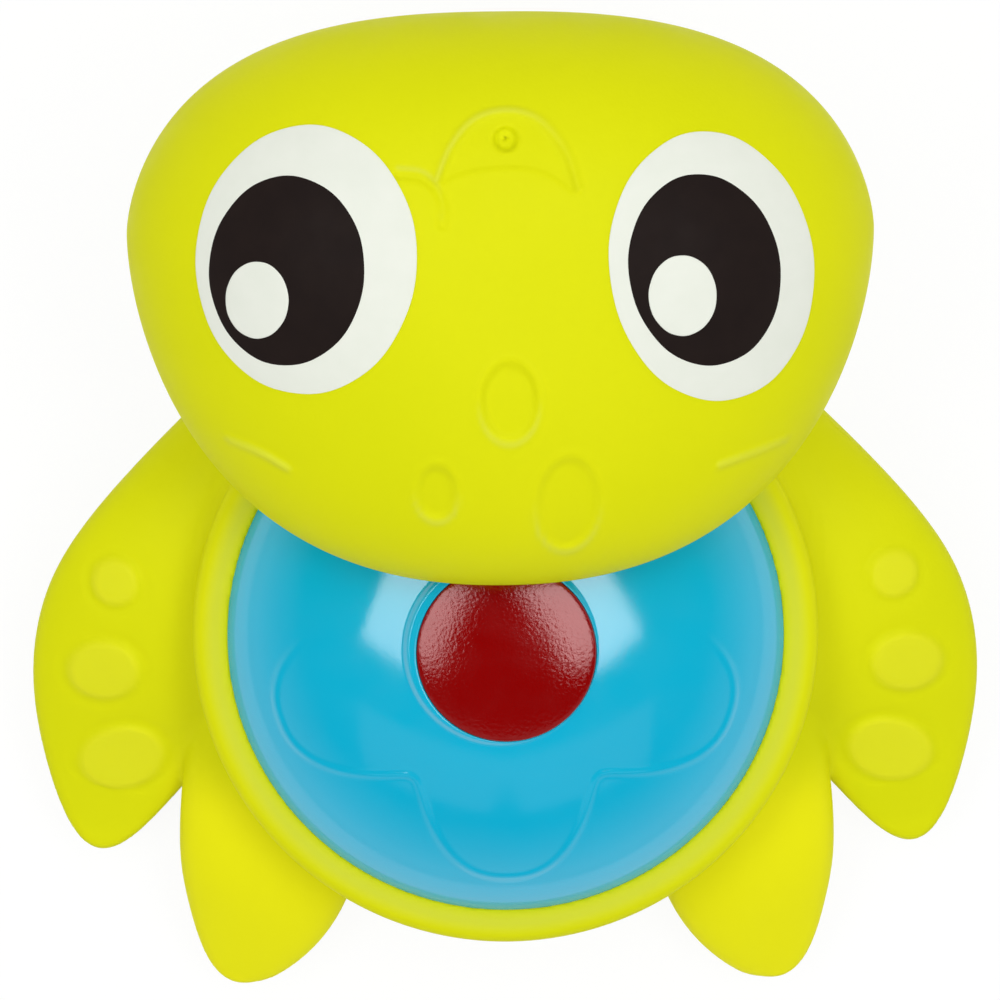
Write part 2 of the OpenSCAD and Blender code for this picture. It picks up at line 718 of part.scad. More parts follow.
// Cup in the belly that carries the bellows, the reed block and the grille
module squeaker_housing() {
    chamber_r = housing_r - housing_wall;
    spigot_r = belly_bore_d / 2 - seat_fit;
    color("whitesmoke") difference() {
        union() {
            translate([0, 0, grille_recess]) cylinder(r = spigot_r, h = casing_wall, $fn = round_sides);
            translate([0, 0, casing_wall])
                cylinder(d = housing_flange_d, h = housing_flange_t, $fn = round_sides);
            translate([0, 0, casing_wall])
                cylinder(r = housing_r, h = housing_top - casing_wall, $fn = round_sides);
        }
        translate([0, 0, grille_recess - overrun])
            cylinder(r = chamber_r + housing_wall / 2, h = grille_t + overrun, $fn = round_sides);
        translate([0, 0, grille_recess])
            cylinder(r = chamber_r, h = deck_z - grille_recess, $fn = round_sides);
        translate([0, 0, deck_top])
            cylinder(r = chamber_r, h = deck_depth + overrun, $fn = round_sides);
        translate([0, 0, deck_z - overrun])
            cylinder(r = block_r + seat_fit, h = deck_t + 2 * overrun, $fn = small_sides);
    }
}

// Half space on the flat side of the reed block
module flat_side(low, high) {
    translate([block_flat_x, -block_d, low]) cube([block_d, 2 * block_d, high - low]);
}

// Block with the slot that the reed closes
module reed_block() {
    low = deck_z - block_drop;
    color("gold") difference() {
        union() {
            translate([0, 0, low])
                cylinder(r = block_r, h = deck_top + block_flange_t - low, $fn = small_sides);
            translate([0, 0, deck_top]) cylinder(d = block_flange_d, h = block_flange_t, $fn = small_sides);
        }
        translate([0, 0, low + block_bore_d / 2])
            cylinder(d = block_bore_d, h = deck_top + overrun - low, $fn = small_sides);
        flat_side(low - overrun, deck_z);
    }
}

// Thin tongue that beats on the block's slot
module reed() {
    color("goldenrod") translate([reed_x, -reed_w / 2, reed_top - reed_l]) cube([reed_t, reed_w, reed_l]);
}

// Clip that holds the reed's upper end on the block
module reed_clip() {
    slot_w = reed_w + 2 * reed_gap;
    color("silver") difference() {
        translate([0, 0, clip_z]) cylinder(d = clip_d, h = clip_h, $fn = small_sides);
        difference() {
            translate([0, 0, clip_z - overrun])
                cylinder(r = block_r + seat_fit, h = clip_h + 2 * overrun, $fn = small_sides);
            flat_side(clip_z - 2 * overrun, clip_z + clip_h + 2 * overrun);
        }
        translate([0, -slot_w / 2, clip_z - overrun])
            cube([reed_x + reed_t + reed_gap, slot_w, clip_h + 2 * overrun]);
    }
}

// Perforated cap that closes the squeaker in the belly
module sound_grille() {
    grille_r = housing_r - housing_wall / 2 - seat_fit;
    color("whitesmoke") difference() {
        translate([0, 0, grille_recess]) cylinder(r = grille_r, h = grille_t, $fn = round_sides);
        for (i = [0 : sound_holes - 1]) rotate([0, 0, 360 * i / sound_holes])
            translate([sound_ring_d / 2, 0, grille_recess - overrun])
                cylinder(d = sound_hole_d, h = grille_t + 2 * overrun, $fn = small_sides);
        translate([0, 0, grille_recess - overrun])
            cylinder(d = sound_hole_d, h = grille_t + 2 * overrun, $fn = small_sides);
    }
}

body_casing();
shell_dome();
shell_seal();
head_shell();
eye_white(-1, left_white_w);  // left_eye_white
eye_white(1, right_white_w);  // right_eye_white
pupil(-1);  // left_pupil
pupil(1);  // right_pupil
eye_glint(-1);  // left_eye_glint
eye_glint(1);  // right_eye_glint
neck_connector();
button_cap();
button_plunger();
bellows();
bellows_clamp();
squeaker_housing();
reed_block();
reed();
reed_clip();
sound_grille();
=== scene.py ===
import math

import bpy
import numpy as np
import openvdb
from mathutils import Matrix, Vector


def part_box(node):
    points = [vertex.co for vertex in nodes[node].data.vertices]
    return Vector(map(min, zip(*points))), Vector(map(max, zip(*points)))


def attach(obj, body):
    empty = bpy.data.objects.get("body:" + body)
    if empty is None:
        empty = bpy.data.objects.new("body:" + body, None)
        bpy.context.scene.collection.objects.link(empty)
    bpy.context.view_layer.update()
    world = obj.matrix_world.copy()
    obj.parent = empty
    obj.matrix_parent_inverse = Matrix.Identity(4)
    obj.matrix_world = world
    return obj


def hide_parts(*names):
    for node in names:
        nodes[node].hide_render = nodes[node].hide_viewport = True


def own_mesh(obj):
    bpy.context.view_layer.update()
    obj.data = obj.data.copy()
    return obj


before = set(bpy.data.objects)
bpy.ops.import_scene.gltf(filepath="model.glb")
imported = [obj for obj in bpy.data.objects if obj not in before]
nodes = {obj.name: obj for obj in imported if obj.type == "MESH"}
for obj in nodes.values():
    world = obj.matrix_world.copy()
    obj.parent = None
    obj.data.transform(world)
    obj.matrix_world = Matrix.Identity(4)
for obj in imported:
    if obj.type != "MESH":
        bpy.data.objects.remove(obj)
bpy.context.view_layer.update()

# All sizes are in millimetres, in the CAD model's frame, until a piece is written in metres.
METRES = 0.001

# Shell and button
dome_low, dome_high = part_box("shell_dome")
dome_r = dome_high.x / METRES
dome_bow = 2.0
dome_edge = 1.6
flare_r = dome_r + 0.4
skirt_z = dome_low.z / METRES
skirt_bevel = 0.1
shell_r = dome_r + 0.1
shell_top = 35.5
shell_base = 23.0
shell_foot_z = shell_base - 0.3
shell_wall = 1.6
boss_z = dome_high.z / METRES
boss_r = 9.75
boss_shift = (-0.6, 0.3)
boss_slope_w = 0.75
button_low, button_top = (corner.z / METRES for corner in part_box("button_cap"))
button_r = 8.86
button_crown = 1.0
guide_r = 8.9
guide_wall = 1.4
guide_z = 32.1

# Rim, ledge under the shell, and bowl
rim_w = 3.5
rim_r = shell_r + rim_w
rim_top = 24.5
rim_round = rim_w / 2
rim_side_z = rim_top - rim_round
lip_reach = 2.2
lip_power = 0.8
lip_drop = 0.35
lip_press = 0.15
# Painted sheen: a paler band painted on the top of the rim, standing in for a highlight
sheen_rim_r = shell_r + 1.2
sheen_rim_w = 1.5
sheen_rim_share = 0.9
seat_z = 19.5
ledge_w = 2.2
ledge_t = 2.0
casing_wall = 2.0
belly_r = 18.0
belly_edge = 0.3
belly_bore_r = 12.0
bowl_bow = 1.7
bowl_edge = 1.5

# Profiles that are turned round the axis start and end this close to it
axis_r = 0.01

# Chest and flippers
chest_w = 48.0
chest_l = 38.0
chest_top = 23.0
chest_foot_y = 34.0
chest_draw_share = 0.36
chest_bow = 3.0
chest_fillet = 2.0
front_route = [(20.5, 24.53), (38.14, -11.87), (37.3, 0.5), (42.45, -24.64)]
rear_route = [(23.13, -8.06), (24.58, -27.5), (24.92, -28.45), (28.73, -39.09)]
front_flipper = {
    "half_w": 16.4, "half_t": 6.6, "root_z": 13.5, "tip_z": 5.5, "taper": 1.48, "root_share": 0.61,
}
rear_flipper = {
    "half_w": 10.0, "half_t": 5.6, "root_z": 11.0, "tip_z": 4.5, "taper": 2.23, "root_share": 0.1,
}
flipper_thin_share = 0.35
flipper_edge_r = 1.0
root_quickness = 4.8
front_fillet = 3.2
rear_fillet, rear_fillet_more = 0.8, 2.4
rear_notch_x, rear_notch_w = 30, 6

# Spots on the left flipper, each its middle, half sizes and tilt in degrees
flipper_spots = [(-39.5, 4.9, 2.6, 2.6, 0), (-41.0, -4.5, 3.95, 3.3, 6), (-39.5, -14.2, 4.75, 3.6, 16)]
spot_heights = (0.5, 0.5, 0.45)
spot_edge, spot_out, spot_floor = 0.7, 0.1, 9.0
groove_h, groove_w, groove_out = 0.1, 0.6, 0.5
# Shares of painted sheen and painted light that pale the tops of the spots
spot_sheen_share, spot_light_share = 0.3, 0.6

# Painted light on the rear flippers, which are painted paler to stand in for light: where it starts behind
# the shell, beside it and past the rim, and how fast
painted_light_y, painted_light_y_w = -12, 8
painted_light_x, painted_light_x_w = 37, 5
painted_light_r, painted_light_r_w = rim_r - 1, 3

# Head
head_w = 72.4
head_front = 21.2
head_back = 34.6
head_y = 42.2
head_left = 0.2
head_rim_z = 39.6
head_rise = 18.0
head_drop = 13.6
head_wall = 2.2
outline_square = 1.86
front_gain = 0.61
back_gain = 0.34
face_bow = 2.5
face_edge = 2.1
eye_bulge = 2.0
face_right = 0.5
eye_x = 19.2
eye_y = 40.9
right_eye_drop = 1.1
left_white_w = 21.0
right_white_w = 19.5
white_h = 25.6
neck_y = 44.5
neck_bore_r = 6.0
neck_foot_r = 10.5
neck_edge_r, neck_edge_in = 0.3, 0.09
neck_root_r = 15.25
neck_rise = 6.5
neck_end_slope = 3.0
neck_fillet = 1.6
neck_recess_r = 7.7
neck_recess_h = 1.5
neck_mouth_r = 8.2
head_base_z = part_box("head_shell")[0].z / METRES
crown_gap = 0.9
crown_sweep = 7.76
clear_fall = 3.0
crease_blend = 3.0


# Forms
def crown(share, bow, edge):
    """Share of a rounded form's height, 1 in its middle and 0 at its outline."""
    return np.maximum(0, 1 - share ** bow) ** (1 / edge)


def dome_height(r, foot_r=dome_r):
    """Height of the shell's curve at a distance from its middle."""
    return shell_base + (shell_top - shell_base) * crown(np.minimum(1, r / foot_r), dome_bow, dome_edge)


def shell_curve(r):
    """Height of the shell as it shows, which flares a little under the rim's lip."""
    return dome_height(r, flare_r)


def bowl_radius(z):
    """Outer radius of the bowl at a height."""
    return belly_r + (rim_r - belly_r) * crown(1 - np.minimum(1, z / rim_side_z), bowl_bow, bowl_edge)


def head_share(x, y):
    """Share of the way out from the middle of the head to its outline."""
    u = np.abs(x + head_left) / (head_w / 2)
    v = (y - head_y) / np.where(y > head_y, head_front, head_back)
    gain = np.where(v > 0, front_gain, back_gain)
    n = outline_square + gain * np.abs(v) / np.maximum(1, np.hypot(u, v))
    return (u ** n + np.abs(v) ** n) ** (1 / n)


def head_point(angle, share):
    """Point of the head's plan at an angle and a share of the way out."""
    x = np.cos(angle) * head_w / 2
    y = np.sin(angle) * np.where(np.sin(angle) > 0, head_front, head_back)
    k = share / head_share(x - head_left, head_y + y)
    return x * k - head_left, head_y + y * k


def face_height(x, y):
    """Height of the face, with the swelling under each eye."""
    s = np.minimum(1, head_share(x, y))
    across = (np.abs(x - face_right) - eye_x) / (left_white_w / 2)
    along = (y - eye_y) / (white_h / 2)
    return head_rim_z + head_rise * crown(s, face_bow, face_edge) + eye_bulge * np.exp(-across**2 - along**2)


def under_height(x, y):
    """Height of the head's underside, which stays clear of the shell as the head turns."""
    s = np.minimum(1, head_share(x, y))
    round_z = head_rim_z - head_drop * crown(s, face_bow, face_edge)
    out = np.hypot(x, y)
    clear_z = dome_height(np.maximum(0, out - crown_sweep)) + button_top - shell_top + crown_gap
    beyond = np.maximum(0, out - dome_r - crown_sweep)
    clear_z = np.minimum(head_rim_z, clear_z) - clear_fall * beyond
    return np.minimum(head_rim_z, -soft_min(-round_z, -clear_z, crease_blend))


def soft_min(a, b, blend):
    """Smaller of two fields, with a fillet where they meet."""
    h = np.maximum(blend - np.abs(a - b), 0) / blend
    return np.minimum(a, b) - h * h * blend / 4


def ease(x):
    """Smooth step from 0 to 1."""
    x = np.clip(x, 0, 1)
    return x * x * (3 - 2 * x)


# Meshes
def ring_faces(rings, sides, round_trip=False):
    """Quads between rings of points that run counter-clockwise, seen from the last ring."""
    i, j = np.meshgrid(np.arange(rings if round_trip else rings - 1), np.arange(sides), indexing="ij")
    k, m = (j + 1) % sides, (i + 1) % rings
    return np.stack([i * sides + j, i * sides + k, m * sides + k, m * sides + j], -1).reshape(-1, 4)


def revolve(profile, sides):
    """Points of a profile of (radius, height) turned round the Z axis, ring by ring."""
    a = np.arange(sides) * 2 * math.pi / sides
    profile = np.array(profile, float)
    x = profile[:, :1] * np.cos(a)
    y = profile[:, :1] * np.sin(a)
    z = np.repeat(profile[:, 1:], sides, 1)
    return np.stack([x, y, z], -1)


def add_piece(name, points, quads, body, material, replaced=(), others=()):
    """Smooth mesh object of points in millimetres, on a body, with its material."""
    mesh = bpy.data.meshes.new(name)
    faces = [tuple(q) for q in np.asarray(quads).tolist()] + [tuple(f) for f in others]
    mesh.from_pydata((np.asarray(points, float).reshape(-1, 3) * METRES).tolist(), [], faces)
    mesh.validate()
    mesh.polygons.foreach_set("use_smooth", np.ones(len(mesh.polygons), bool))
    mesh.materials.append(material)
    piece = bpy.data.objects.new(name, mesh)
    bpy.context.scene.collection.objects.link(piece)
    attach(piece, body)
    if replaced:
        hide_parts(*replaced)
    return piece


def capped(points):
    """Points, quads and end caps of a stack of rings that starts and ends in a small ring."""
    rings, sides = points.shape[:2]
    caps = [list(range(sides))[::-1], [(rings - 1) * sides + j for j in range(sides)]]
    return points.reshape(-1, 3), ring_faces(rings, sides), caps


# Materials
def noise(tree, coords, size, detail=2.0):
    """Noise whose cells are about size millimetres wide."""
    node = tree.nodes.new("ShaderNodeTexNoise")
    node.inputs["Scale"].default_value = 1 / (size * METRES)
    node.inputs["Detail"].default_value = detail
    tree.links.new(coords, node.inputs["Vector"])
    return node.outputs["Fac"]


def stretch(tree, value, value_low, value_high, low, high):
    """The value's range stretched to another, and cut off outside it."""
    node = tree.nodes.new("ShaderNodeMapRange")
    node.inputs["From Min"].default_value = value_low
    node.inputs["From Max"].default_value = value_high
    node.inputs["To Min"].default_value = low
    node.inputs["To Max"].default_value = high
    tree.links.new(value, node.inputs["Value"])
    return node.outputs["Result"]


def spread(tree, value, low, high):
    """The middle of a noise's range stretched from low to high."""
    return stretch(tree, value, 0.3, 0.7, low, high)


def vary_colour(tree, shader, value, first, second):
    """Base colour that drifts between two tones."""
    mix = tree.nodes.new("ShaderNodeMix")
    mix.data_type = "RGBA"
    mix.inputs["A"].default_value = (*first, 1)
    mix.inputs["B"].default_value = (*second, 1)
    tree.links.new(value, mix.inputs["Factor"])
    tree.links.new(mix.outputs["Result"], shader.inputs["Base Color"])


def tint_by_attribute(tree, shader, attribute, colour):
    """Base colour that turns to another where the mesh's attribute is 1."""
    value = tree.nodes.new("ShaderNodeAttribute")
    value.attribute_name = attribute
    mix = tree.nodes.new("ShaderNodeMix")
    mix.data_type = "RGBA"
    mix.inputs["B"].default_value = (*colour, 1)
    tree.links.new(value.outputs["Fac"], mix.inputs["Factor"])
    tree.links.new(shader.inputs["Base Color"].links[0].from_socket, mix.inputs["A"])
    tree.links.new(mix.outputs["Result"], shader.inputs["Base Color"])


def bump(tree, shader, value, height, under=None):
    """Bump of a height in millimetres, on top of another."""
    node = tree.nodes.new("ShaderNodeBump")
    node.inputs["Distance"].default_value = height * METRES
    tree.links.new(value, node.inputs["Height"])
    if under is not None:
        tree.links.new(under, node.inputs["Normal"])
    tree.links.new(node.outputs["Normal"], shader.inputs["Normal"])
    return node.outputs["Normal"]


def surface(name, first, second, tone_w, patch_w, rough, rough_low, rough_high, bumps, spec=0.5):
    """Material that drifts between two tones and two roughnesses, with bumps of (width, height, detail)."""
    material = bpy.data.materials.new(name)
    material.use_nodes = True
    tree = material.node_tree
    shader = tree.nodes["Principled BSDF"]
    shader.inputs["Base Color"].default_value = (*first, 1)
    shader.inputs["Roughness"].default_value = rough
    shader.inputs["Specular IOR Level"].default_value = spec
    coords = tree.nodes.new("ShaderNodeTexCoord").outputs["Object"]
    vary_colour(tree, shader, spread(tree, noise(tree, coords, tone_w), 0, 1), first, second)
    patches = spread(tree, noise(tree, coords, patch_w), rough_low, rough_high)
    tree.links.new(patches, shader.inputs["Roughness"])
    under = None
    for width, height, detail in bumps:
        under = bump(tree, shader, noise(tree, coords, width, detail), height, under)
    return material


def vinyl(name, first, second, painted_light, painted_sheen, scatter):
    """Soft satin vinyl, with painted light that pales it on the rear flippers and a painted sheen on raised
    edges, with a matt grain and light that sinks in.
    """
    material = surface(
        name, first, second, tone_w=26, patch_w=5, rough=0.5, rough_low=0.46, rough_high=0.56,
        bumps=[(1.6, 0.02, 2), (0.32, 0.012, 4)], spec=0.06,
    )
    tree = material.node_tree
    shader = tree.nodes["Principled BSDF"]
    shader.inputs["Subsurface Weight"].default_value = scatter
    shader.inputs["Subsurface Radius"].default_value = (1.0, 1.0, 0.2)
    shader.inputs["Subsurface Scale"].default_value = 1.2 * METRES
    tint_by_attribute(tree, shader, "painted_light", painted_light)
    tint_by_attribute(tree, shader, "painted_sheen", painted_sheen)
    return material


def gloss(name, first, second, peel):
    """Glossy moulded plastic with a fine orange peel of a height in millimetres."""
    return surface(
        name, first, second, tone_w=14, patch_w=4, rough=0.12, rough_low=0.09, rough_high=0.15,
        bumps=[(2.2, peel * 0.2, 2), (0.36, peel, 3)], spec=1.0,
    )


def printed(name, first, second):
    """Printed ink on vinyl: even, slightly shiny, with the grain of what lies under it."""
    return surface(
        name, first, second, tone_w=3, patch_w=2, rough=0.55, rough_low=0.5, rough_high=0.6,
        bumps=[(0.32, 0.006, 4)], spec=0.08,
    )


def moulded(name, first, second, rough, grain):
    """Plain moulded piece inside the toy, with faint flow marks and a matt grain."""
    return surface(
        name, first, second, tone_w=6, patch_w=1.5, rough=rough, rough_low=rough - 0.05,
        rough_high=rough + 0.06, bumps=[(0.25, grain, 3)],
    )


# Lime vinyl, with a paler colour for painted light on the rear flippers and one for a painted sheen on raised
# edges
lime_vinyl = vinyl(
    "lime_vinyl", (0.77, 0.785, 0.004), (0.735, 0.765, 0.003), painted_light=(0.89, 0.865, 0.006),
    painted_sheen=(0.7, 0.735, 0.045), scatter=0.25,
)
blue_gloss = gloss("blue_gloss", (0.003, 0.495, 0.752), (0.004, 0.48, 0.732), 0.004)
red_gloss = gloss("red_gloss", (0.287, 0.0004, 0.0004), (0.27, 0.0003, 0.0003), 0.024)
red_gloss.node_tree.nodes["Principled BSDF"].inputs["Specular Tint"].default_value = (1, 0.72, 0.72, 1)
white_ink = printed("white_ink", (0.845, 0.87, 0.78), (0.82, 0.85, 0.755))
black_ink = printed("black_ink", (0.0155, 0.0095, 0.0085), (0.018, 0.011, 0.0095))
natural_plastic = moulded("natural_plastic", (0.74, 0.74, 0.69), (0.70, 0.70, 0.65), 0.38, 0.004)
dark_rubber = moulded("dark_rubber", (0.035, 0.038, 0.038), (0.045, 0.047, 0.047), 0.62, 0.008)
grey_rubber = moulded("grey_rubber", (0.075, 0.075, 0.075), (0.09, 0.09, 0.088), 0.6, 0.008)
rolled_brass = moulded("rolled_brass", (0.62, 0.40, 0.12), (0.56, 0.35, 0.10), 0.28, 0.002)
rolled_brass.node_tree.nodes["Principled BSDF"].inputs["Metallic"].default_value = 1.0

for node_name, material in {
    "shell_seal": grey_rubber, "neck_connector": natural_plastic, "button_plunger": natural_plastic,
    "bellows_clamp": natural_plastic, "squeaker_housing": natural_plastic, "reed_block": natural_plastic,
    "reed": rolled_brass, "reed_clip": natural_plastic, "sound_grille": natural_plastic,
}.items():
    nodes[node_name].data.materials.clear()
    nodes[node_name].data.materials.append(material)


# Relief of the face
def smooth_route(points, steps=14):
    """Points along a smooth curve through a few chosen ones."""
    p = np.array(points, float)
    p = np.vstack([2 * p[0] - p[1], p, 2 * p[-1] - p[-2]])
    t = np.linspace(0, 1, steps, endpoint=False)[:, None]
    out = []
    for a, b, c, d in zip(p[:-3], p[1:-2], p[2:-1], p[3:]):
        bend = (2 * a - 5 * b + 4 * c - d) * t**2 + (3 * b - a - 3 * c + d) * t**3
        out.append(0.5 * (2 * b + (c - a) * t + bend))
    return np.vstack([*out, p[-2:-1]])


def paint_values(piece, attribute, values):
    """Keep a share for every point of a piece, for its material."""
    kept = piece.data.attributes.new(attribute, "FLOAT", "POINT")
    kept.data.foreach_set("value", values.astype(np.float32))


def route_distance(x, y, route):
    """Distance in plan from a curve."""
    best = np.full(x.shape, 1e9)
    for a, b in zip(route[:-1], route[1:]):
        way = b - a
        t = np.clip(((x - a[0]) * way[0] + (y - a[1]) * way[1]) / (way @ way), 0, 1)
        best = np.minimum(best, np.hypot(x - a[0] - t * way[0], y - a[1] - t * way[1]))
    return best


def oval_share(x, y, spot):
    """Share of the way out from the middle of a tilted oval."""
    cx, cy, half_w, half_h, tilt = spot
    c, s = math.cos(math.radians(tilt)), math.sin(math.radians(tilt))
    u, v = (x - cx) * c + (y - cy) * s, (y - cy) * c - (x - cx) * s
    return np.hypot(u / half_w, v / half_h)


def oval_inside(x, y, spot):
    """Rough distance inside the outline of an oval, less than 0 outside it."""
    return (1 - oval_share(x, y, spot)) * min(spot[2], spot[3])


def bar(distance, width):
    """Round-backed bar of a half width round a curve."""
    return ease(1 - distance / width)


# The head's front, with the muzzle, is at the top of the picture
lower_lip = smooth_route(
    [(-6.3, 48.5), (-4.8, 51.8), (-2.5, 54.2), (0.6, 54.9), (3.5, 54.0), (5.9, 51.2), (7.1, 47.5)]
)
upper_lip = smooth_route([(-6.3, 47.6), (-3.8, 48.8), (0.5, 49.3), (4.0, 48.7), (7.1, 46.5)])
cheek_fold = smooth_route([(-9.8, 49.0), (-7.7, 48.7), (-6.3, 47.6), (-5.6, 45.9), (-5.8, 44.3)])
left_brow = smooth_route([(-26.5, 23.1), (-23.6, 22.1), (-20.9, 20.6)])
right_brow = np.array([(20.5, 20.4), (26.9, 22.3)])
squirt_hole = (0.3, 52.2)
forehead_ovals = [(0.4, 27.4, 2.8, 4.0, 0), (-6.6, 18.4, 2.0, 2.9, 0), (5.9, 17.1, 3.1, 4.9, -4)]
muzzle_half_w, muzzle_back, muzzle_front = 13, 42, 58
forehead_front, face_back = 34, 10

# Heights, depths and widths of the face's relief
lip_h, lip_w = 0.26, 0.55
mouth_depth, mouth_half_w = 0.22, 7.2
mouth_side_edge, mouth_back_edge, mouth_front_edge = 0.8, 0.6, 1.4
fold_h, fold_w = 0.3, 0.7
brow_h, brow_w = 0.45, 0.6
hole_r, hole_edge, hole_depth = 0.26, 0.16, 0.8
dimple_r, dimple_edge, dimple_depth = 1.3, 0.5, 0.9
oval_depth, oval_wall = 0.42, 0.6
oval_rim_h, oval_rim_w, oval_rim_out = 0.09, 0.4, 0.25

# Painted highlight: paleness painted on the edges of the face's relief that face the light, which fades out
# to the right
sheen_share, sheen_w = 0.8, 0.45
lip_fade_x, lip_fade_w = 8.4, 8
fold_fade_x, fold_fade_w, fold_front = -5.4, 1.5, 0.7
brow_front = 0.1
oval_sheen_out, oval_sheen_share = 0.15, 0.2


def face_relief(x, y):
    """Height of the small forms of the face above its plain skin."""
    height = np.zeros(x.shape)
    near = (np.abs(x) < muzzle_half_w) & (y > muzzle_back) & (y < muzzle_front)
    u, v = x[near], y[near]
    inside = ease((v - np.interp(u, upper_lip[:, 0], upper_lip[:, 1])) / mouth_back_edge)
    inside *= ease((np.interp(u, lower_lip[:, 0], lower_lip[:, 1]) - v) / mouth_front_edge)
    inside *= ease((mouth_half_w - np.abs(u)) / mouth_side_edge)
    from_hole = np.hypot(u - squirt_hole[0], v - squirt_hole[1])
    height[near] += lip_h * bar(route_distance(u, v, lower_lip), lip_w) - mouth_depth * inside
    height[near] -= fold_h * bar(route_distance(u, v, cheek_fold), fold_w)
    height[near] -= dimple_depth * ease((dimple_r - from_hole) / dimple_edge)
    height[near] -= hole_depth * ease((hole_r - from_hole) / hole_edge)
    near = y < forehead_front
    u, v = x[near], y[near]
    for oval in forehead_ovals:
        inside = oval_inside(u, v, oval)
        height[near] -= oval_depth * ease(inside / oval_wall)
        height[near] += oval_rim_h * ease(1 - np.abs(inside + oval_rim_out) / oval_rim_w)
    for brow in (left_brow, right_brow):
        height[near] += brow_h * bar(route_distance(u, v, brow), brow_w)
    return height


def face_sheen(x, y):
    """Share of painted highlight on the raised edges of the face that face the light."""
    lip = bar(route_distance(x, y, lower_lip), sheen_w) * ease((lip_fade_x - x) / lip_fade_w)
    fold = bar(route_distance(x, y - fold_front, cheek_fold), sheen_w)
    share = np.maximum(lip, fold * ease((fold_fade_x - x) / fold_fade_w))
    for brow in (left_brow, right_brow):
        share = np.maximum(share, bar(route_distance(x, y - brow_front, brow), brow_w))
    for oval in forehead_ovals:
        edge = ease(1 - np.abs(oval_inside(x, y, oval) + oval_sheen_out) / oval_rim_w)
        back_side = ease((oval[1] - y) / oval[3] + oval_sheen_share)
        share = np.maximum(share, back_side * edge)
    return sheen_share * share * (y > face_back)


# Head
head_sides = 400
face_rings = 170
under_rings = 44
lining_rings = 12
angles = np.arange(head_sides) * 2 * math.pi / head_sides


def neck_ring(r, z):
    """Ring round the neck's axis."""
    return np.stack([r * np.cos(angles), neck_y + r * np.sin(angles), np.full(head_sides, z)], -1)


def bridged(r, share, steps, height):
    """Rings that lead from a circle round the neck's axis out to a share of the head's outline."""
    ox, oy = head_point(angles, share)
    rings = []
    for t in np.sin(np.linspace(0, 1, steps + 1)[1:] * math.pi / 2):
        x = r * np.cos(angles) * (1 - t) + ox * t
        y = (neck_y + r * np.sin(angles)) * (1 - t) + oy * t
        rings.append(np.stack([x, y, height(x, y)], -1))
    return rings


def neck_and_under(x, y):
    """Underside with the neck's boss below it and a fillet between them."""
    r = np.hypot(x, y - neck_y)
    cone = head_base_z + (r - neck_foot_r) * neck_rise / (neck_root_r - neck_foot_r)
    cone += neck_end_slope * np.maximum(0, r - neck_root_r)
    return soft_min(under_height(x, y), np.maximum(cone, head_base_z), neck_fillet)


head_rings = [
    neck_ring(neck_bore_r, head_base_z),
    neck_ring(neck_foot_r - neck_edge_r, head_base_z),
    neck_ring(neck_foot_r - neck_edge_in, head_base_z + neck_edge_in),
    neck_ring(neck_foot_r, head_base_z + neck_edge_r),
]
head_rings += bridged(neck_foot_r, 1.0, under_rings, neck_and_under)
for t in np.linspace(math.pi / 2, 0, face_rings + 1)[1:-1]:
    x, y = head_point(angles, math.sin(t) ** (2 / face_bow))
    head_rings.append(np.stack([x, y, face_height(x, y) + face_relief(x, y)], -1))
outer_end = len(head_rings) * head_sides
recess_z = head_base_z + head_wall
recess_top = recess_z + neck_recess_h
lining_share = 1 - 2 * head_wall / head_w
lining = [
    neck_ring(neck_bore_r, head_base_z),
    neck_ring(neck_bore_r, recess_z),
    neck_ring(neck_recess_r, recess_z),
    neck_ring(neck_recess_r, recess_top),
    neck_ring(neck_mouth_r, recess_top),
]
lining += bridged(neck_mouth_r, lining_share, lining_rings, lambda x, y: under_height(x, y) + head_wall)
for t in np.linspace(math.pi / 2, 0, lining_rings + 1)[1:-1]:
    x, y = head_point(angles, lining_share * math.sin(t) ** (2 / face_bow))
    lining.append(np.stack([x, y, face_height(x, y) - head_wall], -1))
outer = np.array(head_rings)
inner = np.array(lining)[1:]
points = np.vstack([outer.reshape(-1, 3), inner.reshape(-1, 3)])
# Painted highlight on the face's raised edges that face the light
painted_sheen = np.zeros(len(points))
face_points = slice((len(outer) - face_rings) * head_sides, outer_end)
painted_sheen[face_points] = face_sheen(points[face_points, 0], points[face_points, 1])
quads = ring_faces(len(outer), head_sides)
inner_quads = ring_faces(len(inner), head_sides)[:, ::-1] + outer_end
j = np.arange(head_sides)
k = (j + 1) % head_sides
joining = np.stack([j, outer_end + j, outer_end + k, k], -1)
caps = [
    list(range(outer_end - head_sides, outer_end)),
    list(range(len(points) - head_sides, len(points)))[::-1],
]
head = add_piece(
    "turtle_head", points, np.vstack([quads, inner_quads, joining]), "head", lime_vinyl,
    ["head_shell"], caps,
)
paint_values(head, "painted_sheen", painted_sheen)


# Printed eyes
eye_sides, eye_rings, eye_edge_rings = 144, 22, 5
eye_middle_share = 0.02
eye_edge_share = 0.8


